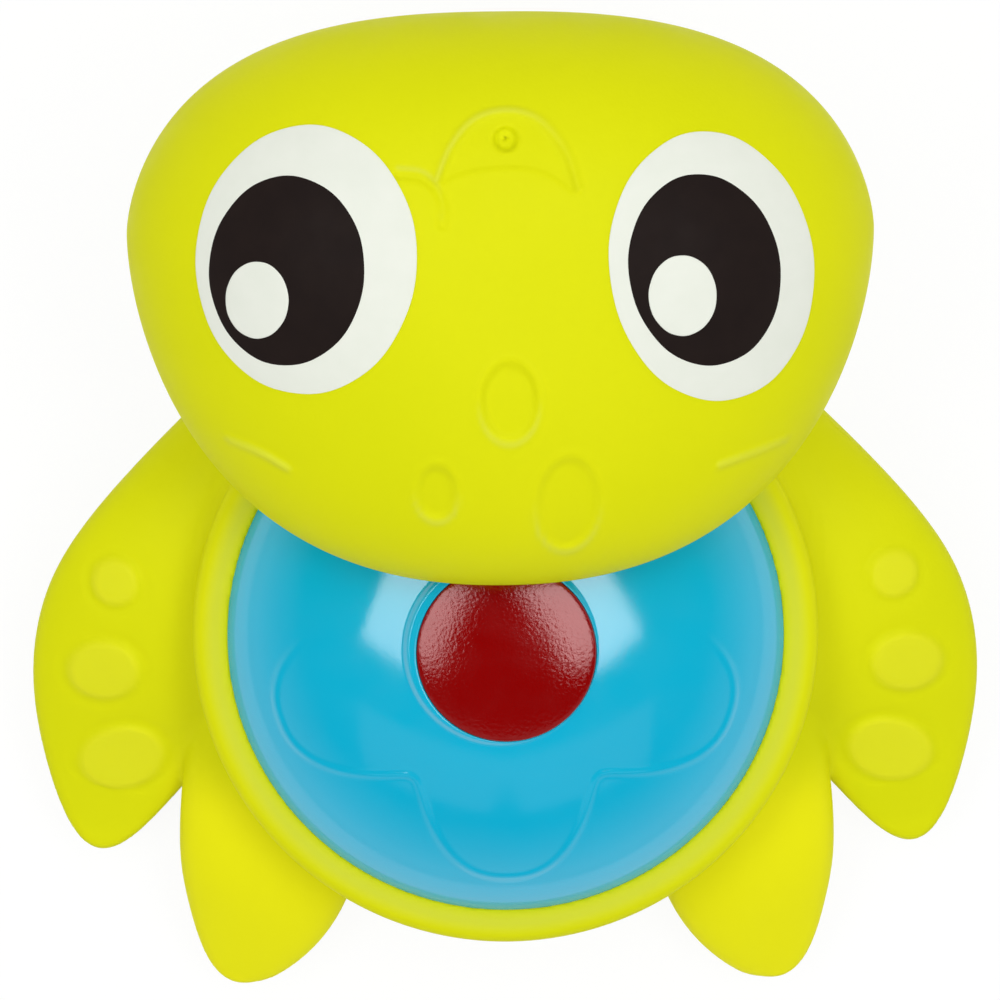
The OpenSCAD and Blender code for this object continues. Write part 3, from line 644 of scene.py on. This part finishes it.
def eye_print(name, side, tilt, size, offset, low, high, node, slot, material):
    """Thin oval print from low to high over the face, with a rounded edge and a slightly uneven outline."""
    base_w = left_white_w if side < 0 else right_white_w
    tilt = math.radians(tilt)
    cx = face_right + side * eye_x + offset[0] * base_w
    cy = eye_y - (0 if side < 0 else right_eye_drop) + offset[1] * white_h
    a = np.arange(eye_sides) * 2 * math.pi / eye_sides
    wobble = 1 + 0.0025 * np.sin(5 * a + cx) + 0.002 * np.sin(11 * a + cy)
    stack = []

    def ring(shrink, share, lift):
        u = (size[0] / 2 - shrink) * share * wobble * np.cos(a)
        v = (size[1] / 2 - shrink) * share * wobble * np.sin(a)
        x = cx + u * math.cos(tilt) - v * math.sin(tilt)
        y = cy + u * math.sin(tilt) + v * math.cos(tilt)
        stack.append(np.stack([x, y, face_height(x, y) + lift], -1))

    for share in np.linspace(eye_middle_share, 1, eye_rings):
        ring(0, share, low)
    edge = high * eye_edge_share
    for t in np.linspace(0, math.pi / 2, eye_edge_rings):
        ring(edge * (1 - math.cos(t)), 1, high - edge + edge * math.sin(t))
    for share in np.linspace(1, eye_middle_share, eye_rings)[1:]:
        ring(edge, share, high)
    points, quads, caps = capped(np.array(stack))
    return add_piece(name, points, quads, "head", material, [node], caps)


# The layers of an eye, each with its foot in the skin, its top above it, and what it is made of
eye_layers = {
    "white": {"low": -0.3, "high": 0.07, "slot": "eye_white", "material": white_ink},
    "pupil": {"low": -0.2, "high": 0.12, "slot": "eye_black", "material": black_ink},
    "glint": {"low": -0.1, "high": 0.17, "slot": "eye_white", "material": white_ink},
}
layer_nodes = {"white": "eye_white", "pupil": "pupil", "glint": "eye_glint"}

# Size, place in shares of the white's size, and tilt in degrees
left_eye = {
    "white": {"size": (left_white_w, 25.5), "offset": (0, 0), "tilt": -6.5},
    "pupil": {"size": (14.8, 18.1), "offset": (-0.086, -0.036), "tilt": -6.9},
    "glint": {"size": (6.1, 7.5), "offset": (-0.221, -0.143), "tilt": -6.3},
}
right_eye = {
    "white": {"size": (right_white_w, 25.8), "offset": (0, 0), "tilt": 9.3},
    "pupil": {"size": (14.4, 18.4), "offset": (-0.038, -0.006), "tilt": 11.4},
    "glint": {"size": (6.5, 7.8), "offset": (-0.149, -0.093), "tilt": 3.2},
}
for word, side, eye in (("left", -1, left_eye), ("right", 1, right_eye)):
    for layer, look in eye_layers.items():
        node_name = f"{word}_{layer_nodes[layer]}"
        eye_print(f"{word}_{layer}_print", side, node=node_name, **eye[layer], **look)


# Shell
shell_sides = 480
petals = 5
petal_out, petal_half_l, petal_half_w = 4.1, 19.6, 9.35
petal_square, petal_blend = 2.4, 36
petal_shift = -0.15
petal_h, petal_w = 0.13, 0.55
petal_faint_share, petal_faint_y, petal_fade_w = 0.05, 2, 5


def flower_share(x, y):
    """Share of the way out to the outline of the petals round the button."""
    total = 0
    for turn in range(petals):
        angle = math.radians(360 / petals * turn - 90)
        along = (x - petal_shift) * math.cos(angle) + y * math.sin(angle) - petal_out
        across = y * math.cos(angle) - (x - petal_shift) * math.sin(angle)
        share = np.abs(along / petal_half_l) ** petal_square + np.abs(across / petal_half_w) ** petal_square
        total = total + share ** (-petal_blend / petal_square)
    return total ** (-1 / petal_blend)


def petal_line(x, y):
    """Height of the thin raised line that follows the petals, faint near the head."""
    step = 1e-3
    share = flower_share(x, y)
    slope = np.hypot(flower_share(x + step, y) - share, flower_share(x, y + step) - share) / step
    strength = petal_faint_share + (1 - petal_faint_share) * ease((petal_faint_y - y) / petal_fade_w)
    return petal_h * strength * bar(np.abs(share - 1) / slope, petal_w)


def shell_height(x, y):
    """Height of the shell with its petal line and the boss round the button."""
    dome = shell_curve(np.hypot(x, y)) + petal_line(x, y)
    inside = boss_r - np.hypot(x - boss_shift[0], y - boss_shift[1])
    return dome + (boss_z - dome) * ease(inside / boss_slope_w)


# Rings outside: the guide's edge as (out, drop), then fine, even and ever closer steps to the foot
guide_edge = [(0, 0.12), (0.04, 0.04), (0.12, 0.01)]
ring_step, fine_to, even_to = 0.2, 11, 24
fine_rings, even_rings, foot_rings, inner_rings = 26, 74, 30, 16
foot_angle = math.asin((even_to + ring_step) / flare_r)
outside_r = [guide_r + out for out, drop in guide_edge]
outside_r += list(np.linspace(guide_r + ring_step, fine_to, fine_rings))
outside_r += list(np.linspace(fine_to + ring_step, even_to, even_rings))
outside_r += list(flare_r * np.sin(np.linspace(foot_angle, math.pi / 2, foot_rings)))
drops = [drop for out, drop in guide_edge] + [0] * (len(outside_r) - len(guide_edge))
a = np.arange(shell_sides) * 2 * math.pi / shell_sides
shell_rings = []
for r, drop in zip(outside_r, drops):
    x, y = r * np.cos(a), r * np.sin(a)
    shell_rings.append(np.stack([x, y, shell_height(x, y) - drop], -1))

# Skirt, inside and guide
inner_r = dome_r - shell_wall
guide_out_r = guide_r + guide_wall
inside = [
    (dome_r, shell_foot_z), (dome_r, skirt_z + skirt_bevel), (dome_r - skirt_bevel, skirt_z),
    (inner_r, skirt_z), (inner_r, shell_base - shell_wall),
]
inner_turns = np.linspace(0.08, 1.1, inner_rings)
for share in np.cos(inner_turns):
    if inner_r * share > guide_out_r:
        inside.append((inner_r * share, float(dome_height(dome_r * share)) - shell_wall))
inside += [
    (guide_out_r, float(dome_height(guide_out_r)) - shell_wall), (guide_out_r, guide_z), (guide_r, guide_z),
]
shell_rings = np.vstack([np.array(shell_rings), revolve(inside, shell_sides)])
add_piece(
    "blue_shell", shell_rings.reshape(-1, 3), ring_faces(len(shell_rings), shell_sides, True)[:, ::-1],
    "casing", blue_gloss, ["shell_dome"],
)

# Button, with a flange below and a socket for the plunger
button_sides = 256
button_wall = 1.2
crown_share = 0.955
crown_rings, edge_rings = 40, 8
edge_r = 0.22
edge_from = 0.3
edge_lift = 0.03
edge_z = button_top - button_crown
roof_z = edge_z - button_wall
button_flange_r = button_r + 1.2
flange_top = button_low + 1.2
flange_bevel = 0.05
socket_r, socket_bore_r = 3.2, 2.0
profile = [(button_r * u, button_top - button_crown * u * u)
           for u in np.linspace(0.01, crown_share, crown_rings)]
profile += [(button_r - edge_r * (1 - math.sin(t)), edge_z - edge_r * (1 - math.cos(t)) + edge_lift)
            for t in np.linspace(edge_from, math.pi / 2, edge_rings)]
profile += [
    (button_r, flange_top), (button_flange_r - flange_bevel, flange_top),
    (button_flange_r, flange_top - flange_bevel), (button_flange_r, button_low + flange_bevel),
    (button_flange_r - flange_bevel, button_low), (button_r - button_wall, button_low),
    (button_r - button_wall, roof_z), (socket_r, roof_z), (socket_r, button_low),
    (socket_bore_r, button_low), (socket_bore_r, roof_z), (axis_r, roof_z),
]
points, quads, caps = capped(revolve(profile, button_sides))
add_piece("red_button", points, quads[:, ::-1], "button", red_gloss, ["button_cap"],
          [cap[::-1] for cap in caps])

# Bellows, which on the real toy folds up as the button goes down
bellows_low, bellows_high = (corner.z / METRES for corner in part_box("bellows"))
bellows_foot_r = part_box("bellows")[1].x / METRES
bellows_foot_t = 1.0
fold_out, fold_in, bellows_wall, folds = 8.6, 6.8, 0.8, 4
body_low = bellows_low + bellows_foot_t
fold_steps = 96
bellows_sides = 96
fold_middle, fold_swing = (fold_out + fold_in) / 2, (fold_out - fold_in) / 2
wave = [fold_middle - fold_swing * math.cos(2 * math.pi * folds * i / fold_steps)
        for i in range(fold_steps + 1)]
tall = bellows_high - bellows_wall - body_low
outside = [(w, body_low + tall * i / fold_steps) for i, w in enumerate(wave)]
inside = [(w - bellows_wall, z) for w, z in outside]
profile = [(fold_in - bellows_wall, bellows_low), (bellows_foot_r, bellows_low), (bellows_foot_r, body_low)]
profile += outside + [(fold_in, bellows_high), (axis_r, bellows_high)]
profile += [(axis_r, bellows_high - bellows_wall)] + inside[::-1]
rings = revolve(profile, bellows_sides)
bellows = add_piece(
    "soft_bellows", rings.reshape(-1, 3), ring_faces(len(rings), bellows_sides, True), "casing",
    dark_rubber, ["bellows"],
)
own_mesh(bellows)


# Soft casing
voxel = 0.41
band = 10
field_low = np.array([-51.0, -43.0, -3.0])
field_high = np.array([51.0, 67.0, 29.0])
field_from = tuple(int(v) for v in np.floor(field_low / voxel))
field_size = tuple(int(v) for v in np.ceil((field_high - field_low) / voxel))


def field_of(points, quads, caps=()):
    """Signed distance, in millimetres, of a closed mesh on the grid."""
    triangles = [(cap[0], cap[i], cap[i + 1]) for cap in caps for i in range(1, len(cap) - 1)]
    grid = openvdb.FloatGrid.createLevelSetFromPolygons(
        np.ascontiguousarray(points, np.float32),
        triangles=np.array(triangles, np.uint32).reshape(-1, 3),
        quads=np.ascontiguousarray(quads, np.uint32),
        transform=openvdb.createLinearTransform(voxelSize=voxel),
        halfWidth=float(band),
    )
    out = np.full(field_size, band * voxel, np.float32)
    grid.copyToArray(out, ijk=field_from)
    return out


def solid(profile, sides=180):
    """Field of a closed profile turned round the Z axis, its first and last points near the axis."""
    return field_of(*capped(revolve(profile, sides)))


def chest_rings(inset, steps=24, sides=120):
    """Rings of the chest, drawn in by an inset all round."""
    a = np.arange(sides) * 2 * math.pi / sides
    rings = []
    for u in np.linspace(0, 1, steps + 1):
        full = 1 - chest_draw_share * abs(2 * u - 1) ** chest_bow
        y = chest_foot_y + u * (neck_y - chest_foot_y)
        z = inset + u * (chest_top - 2 * inset)
        half_w, half_l = chest_w / 2 * full - inset, chest_l / 2 * full - inset
        rings.append(np.stack([half_w * np.cos(a), y + half_l * np.sin(a), np.full(sides, z)], -1))
    return np.array(rings)


def bezier(p, t):
    """Point and direction of a cubic curve."""
    p = [np.array(q, float) for q in p]
    c = (1 - t) ** 3 * p[0] + 3 * (1 - t) ** 2 * t * p[1] + 3 * (1 - t) * t * t * p[2] + t**3 * p[3]
    d = (1 - t) ** 2 * (p[1] - p[0]) + 2 * (1 - t) * t * (p[2] - p[1]) + t * t * (p[3] - p[2])
    return c, d / np.hypot(*d)


def flipper_rings(side, route, half_w, half_t, root_z, tip_z, taper, root_share, steps=60, sides=64):
    """Rings of a flipper from its root to its tip, drawn in by the radius of its edges."""
    samples, least = 600, 0.05
    t = 1 - np.linspace(1, 0, samples) ** 2
    middle, way = (np.array(part) for part in zip(*(bezier(route, u) for u in t)))
    full = np.sqrt(1 - t ** taper)
    wide = half_w * full * (1 - root_share * (1 - t) ** root_quickness)
    thick = half_t * full * (1 - flipper_thin_share * t) - flipper_edge_r
    along = np.append(0, np.cumsum(np.hypot(*np.diff(middle, axis=0).T)))
    slope = np.gradient(wide, along)
    steep = np.hypot(1, slope)
    width_along = along + flipper_edge_r * slope / steep
    narrow = wide - flipper_edge_r / steep
    a = np.arange(sides) * 2 * math.pi / sides * side
    rings = []
    for s in (along[-1] - flipper_edge_r) * np.sin(np.linspace(0, math.pi / 2, steps + 1)):
        c, d = ([np.interp(s, along, part[:, i]) for i in (0, 1)] for part in (middle, way))
        w = max(least, np.interp(s, width_along, narrow))
        h = max(least, np.interp(s, along, thick))
        z = root_z + (tip_z - root_z) * np.interp(s, along, t) ** 2
        x = side * (c[0] - d[1] * w * np.cos(a))
        rings.append(np.stack([x, c[1] + d[0] * w * np.cos(a), z + h * np.sin(a)], -1))
    return np.array(rings)


# Outside of the bowl and its rim
bowl_steps, rim_steps, lip_steps = 40, 20, 30
heights = rim_side_z * (1 - np.cos(np.linspace(0, math.pi / 2, bowl_steps)))
bowl_profile = [(axis_r, 0.0), (belly_r - belly_edge, 0.0)]
bowl_profile += [(float(bowl_radius(z)), float(z)) for z in heights[1:]]
bowl_profile += [(shell_r + rim_round * (1 + math.cos(t)), rim_side_z + rim_round * math.sin(t))
                 for t in np.linspace(0, math.pi / 2, rim_steps)[1:]]
bowl_profile += [(shell_r + rim_round - lip_reach * math.sin(t) ** lip_power,
                  rim_top - lip_drop * (1 - math.cos(t) ** lip_power))
                 for t in np.linspace(0, math.pi / 2, lip_steps)[1:-1]]
bowl_profile += [(shell_r + rim_round - lip_reach, rim_side_z), (axis_r, rim_side_z)]

# Chest and flippers join it with fillets, which grow in the notch beside a rear flipper
casing_field = solid(bowl_profile)
casing_field = soft_min(casing_field, field_of(*capped(chest_rings(0))), chest_fillet)
grid_x = (np.arange(field_size[0]) + field_from[0])[:, None, None] * voxel
grid_z = (np.arange(field_size[2]) + field_from[2])[None, None, :] * voxel
notch_fillet = rear_fillet + rear_fillet_more * ease((rear_notch_x - np.abs(grid_x)) / rear_notch_w)
for route, flipper, fillet in (
    (front_route, front_flipper, front_fillet), (rear_route, rear_flipper, notch_fillet),
):
    for side in (-1, 1):
        flipper_field = field_of(*capped(flipper_rings(side, route, **flipper))) - flipper_edge_r
        casing_field = soft_min(casing_field, flipper_field, fillet)

# Hollows: the bowl's, the chest's, the seat of the shell, and the bores of the belly and the neck
cavity_steps, seat_steps, bore_sides = 24, 40, 96
cavity_top = seat_z - ledge_t
cavity_profile = [(axis_r, casing_wall)]
cavity_profile += [(float(bowl_radius(z)) - casing_wall, float(z))
                   for z in np.linspace(casing_wall, cavity_top, cavity_steps)]
cavity_profile += [
    (shell_r - ledge_w, cavity_top + ledge_w / 2), (shell_r - ledge_w, rim_top), (axis_r, rim_top),
]
block_low, block_top = cavity_top - ledge_w, rim_top + 9
rim_block = [(axis_r, block_low), (rim_r, block_low), (rim_r, block_top), (axis_r, block_top)]
seat_top, seat_top_r = rim_top + 8, dome_r * 0.6
seat_turns = np.linspace(1.55, 0.7, seat_steps)
seat = [(axis_r, seat_z), (shell_r, seat_z), (shell_r, shell_foot_z), (flare_r - lip_press, shell_base)]
seat += [(flare_r * u - lip_press, float(shell_curve(flare_r * u))) for u in np.sin(seat_turns)]
seat += [(seat_top_r, seat_top), (axis_r, seat_top)]
bore_low, bore_top = -2.9, casing_wall + 1
belly_bore = [(axis_r, bore_low), (belly_bore_r, bore_low), (belly_bore_r, bore_top), (axis_r, bore_top)]
hole_low, hole_top = chest_top - 4, 28
neck_hole = revolve(
    [(axis_r, hole_low), (neck_bore_r, hole_low), (neck_bore_r, hole_top), (axis_r, hole_top)], bore_sides
)
neck_hole[:, :, 1] += neck_y
chest_hollow = np.maximum(field_of(*capped(chest_rings(casing_wall))), -solid(rim_block))
bores = (solid(belly_bore), field_of(*capped(neck_hole)))
for hollow in (solid(cavity_profile), chest_hollow, solid(seat), *bores):
    casing_field = np.maximum(casing_field, -hollow)
casing_field = np.maximum(casing_field, -grid_z)
grid = openvdb.FloatGrid(band * voxel)
grid.transform = openvdb.createLinearTransform(voxelSize=voxel)
grid.copyFromArray(np.ascontiguousarray(casing_field, np.float32), ijk=field_from)
points, quads = grid.convertToQuads(isovalue=0)
points = np.array(points, float)

# Painted light that pales the rear flippers, a painted sheen on the rim's top, and the raised spots of the
# front flippers with the groove round them, their tops paled by both
x, y, z = points.T
out = np.hypot(x, y)
painted_light = ease((painted_light_y - y) / painted_light_y_w) * ease((painted_light_x - np.abs(x)) / painted_light_x_w) * ease((out - painted_light_r) / painted_light_r_w)
painted_sheen = sheen_rim_share * ease(1 - np.abs(out - sheen_rim_r) / sheen_rim_w) * (z > rim_side_z)
above = z > spot_floor
for spot, spot_h in zip(flipper_spots, spot_heights):
    inside = oval_inside(-np.abs(x), y, spot)
    raised = ease((inside + spot_out) / spot_edge) * above
    groove = ease(1 - np.abs(inside + groove_out) / groove_w) * above
    points[:, 2] += spot_h * raised - groove_h * groove
    painted_sheen = np.maximum(painted_sheen, spot_sheen_share * raised)
    painted_light = np.maximum(painted_light, spot_light_share * raised)
casing = add_piece(
    "lime_casing", points, quads, "casing", lime_vinyl, ["body_casing"],
)
paint_values(casing, "painted_light", painted_light)
paint_values(casing, "painted_sheen", painted_sheen)


# Floor, lights and camera, in metres
def light_path_share(tree, *rays):
    """1 for rays of the named kinds."""
    path = tree.nodes.new("ShaderNodeLightPath")
    total = path.outputs[rays[0]]
    for ray in rays[1:]:
        add = tree.nodes.new("ShaderNodeMath")
        add.operation = "MAXIMUM"
        tree.links.new(total, add.inputs[0])
        tree.links.new(path.outputs[ray], add.inputs[1])
        total = add.outputs[0]
    return total


def mixed(tree, share, first, second):
    """Shader that goes from the first to the second by a share, which is a number or a socket."""
    mix = tree.nodes.new("ShaderNodeMixShader")
    if isinstance(share, float):
        mix.inputs[0].default_value = share
    else:
        tree.links.new(share, mix.inputs[0])
    tree.links.new(first.outputs[0], mix.inputs[1])
    tree.links.new(second.outputs[0], mix.inputs[2])
    return mix


# The floor shows as white, and keeps a little of the toy's shadow
floor_half = 1.5
floor_white, floor_glow, floor_glow_share = 0.92, 1.02, 0.9
floor_mesh = bpy.data.meshes.new("floor")
floor_mesh.from_pydata(
    [(-floor_half, -floor_half, 0), (floor_half, -floor_half, 0), (floor_half, floor_half, 0),
     (-floor_half, floor_half, 0)], [], [(0, 1, 2, 3)],
)
floor = bpy.data.objects.new("floor", floor_mesh)
bpy.context.scene.collection.objects.link(floor)
floor_material = bpy.data.materials.new("pale_floor")
floor_material.use_nodes = True
tree = floor_material.node_tree
tree.nodes.clear()
output = tree.nodes.new("ShaderNodeOutputMaterial")
matt = tree.nodes.new("ShaderNodeBsdfDiffuse")
matt.inputs["Color"].default_value = (floor_white, floor_white, floor_white, 1)
glow = tree.nodes.new("ShaderNodeEmission")
glow.inputs["Strength"].default_value = floor_glow
shown = mixed(tree, floor_glow_share, matt, glow)
straight = light_path_share(tree, "Is Camera Ray", "Is Glossy Ray", "Is Transmission Ray")
tree.links.new(mixed(tree, straight, matt, shown).outputs[0], output.inputs["Surface"])
floor_mesh.materials.append(floor_material)

# The world is white to the camera. It lights the toy more from above than from below, and what the
# gloss reflects of it is bright near the horizon and dark overhead
fill_slant, fill_level = (0.06, 0.05, 0.37), 0.48
horizon_z, ceiling_z, horizon_light, ceiling_light = 0.12, 0.55, 0.8, 0.0
world = bpy.data.worlds.new("studio")
bpy.context.scene.world = world
world.use_nodes = True
tree = world.node_tree
tree.nodes.clear()
output = tree.nodes.new("ShaderNodeOutputWorld")
fill = tree.nodes.new("ShaderNodeBackground")
mirror = tree.nodes.new("ShaderNodeBackground")
white = tree.nodes.new("ShaderNodeBackground")
white.inputs["Color"].default_value = (1, 1, 1, 1)
white.inputs["Strength"].default_value = 1.0
direction = tree.nodes.new("ShaderNodeTexCoord").outputs["Generated"]
parts = tree.nodes.new("ShaderNodeSeparateXYZ")
tree.links.new(direction, parts.inputs[0])
reflected = stretch(tree, parts.outputs["Z"], horizon_z, ceiling_z, horizon_light, ceiling_light)
tree.links.new(reflected, mirror.inputs["Strength"])
slant = tree.nodes.new("ShaderNodeVectorMath")
slant.operation = "DOT_PRODUCT"
slant.inputs[1].default_value = fill_slant
tree.links.new(direction, slant.inputs[0])
level = tree.nodes.new("ShaderNodeMath")
level.inputs[1].default_value = fill_level
tree.links.new(slant.outputs["Value"], level.inputs[0])
tree.links.new(level.outputs[0], fill.inputs["Strength"])
by_glossy = mixed(tree, light_path_share(tree, "Is Glossy Ray"), fill, mirror)
straight = light_path_share(tree, "Is Camera Ray", "Is Transmission Ray")
tree.links.new(mixed(tree, straight, by_glossy, white).outputs[0], output.inputs["Surface"])


def softbox(name, x, y, turn, size_x, size_y, radiance):
    """Rectangular studio light that faces down, turned about the vertical."""
    light = bpy.data.lights.new(name, "AREA")
    light.shape = "RECTANGLE"
    light.size, light.size_y = size_x, size_y
    light.energy = radiance * math.pi * size_x * size_y
    lamp = bpy.data.objects.new(name, light)
    lamp.location = (x, y, lamp_z)
    lamp.rotation_euler = (0, 0, math.radians(turn))
    bpy.context.scene.collection.objects.link(lamp)


lamp_z = 0.535
softbox("left_softbox", x=-0.212, y=0.078, turn=-23.5, size_x=0.185, size_y=0.375, radiance=3.3)
softbox("right_softbox", x=0.172, y=0.065, turn=31, size_x=0.178, size_y=0.375, radiance=3.75)
softbox("left_panel", x=-0.235, y=-0.45, turn=-15, size_x=0.45, size_y=0.3, radiance=0.24)
softbox("right_panel", x=0.235, y=-0.45, turn=15, size_x=0.45, size_y=0.3, radiance=0.24)

# The camera looks down from 0.6 m, leaning 7.5 degrees towards the head, and is rolled a little
view_target = Vector((-0.43, 13.92, 25.0)) * METRES
view_distance = 0.6
sensor_width, lens = 36, 216
lean_x, lean_y, roll = math.radians(-0.3), math.radians(7.5), math.radians(0.6)
camera_data = bpy.data.cameras.new("camera")
camera_data.sensor_width = sensor_width
camera_data.lens = lens
camera_data.clip_start, camera_data.clip_end = 0.01, 20
camera = bpy.data.objects.new("camera", camera_data)
back = Vector((math.tan(lean_x), math.tan(lean_y), 1)).normalized()
side = Vector((0, 1, 0)).cross(back).normalized()
right = side * math.cos(roll) - back.cross(side) * math.sin(roll)
up = back.cross(right)
camera.matrix_world = Matrix.Translation(view_target + back * view_distance) @ Matrix(
    [(right[i], up[i], back[i]) for i in range(3)]
).to_4x4()
bpy.context.scene.collection.objects.link(camera)
bpy.context.scene.camera = camera
bpy.context.scene.view_settings.view_transform = "Standard"
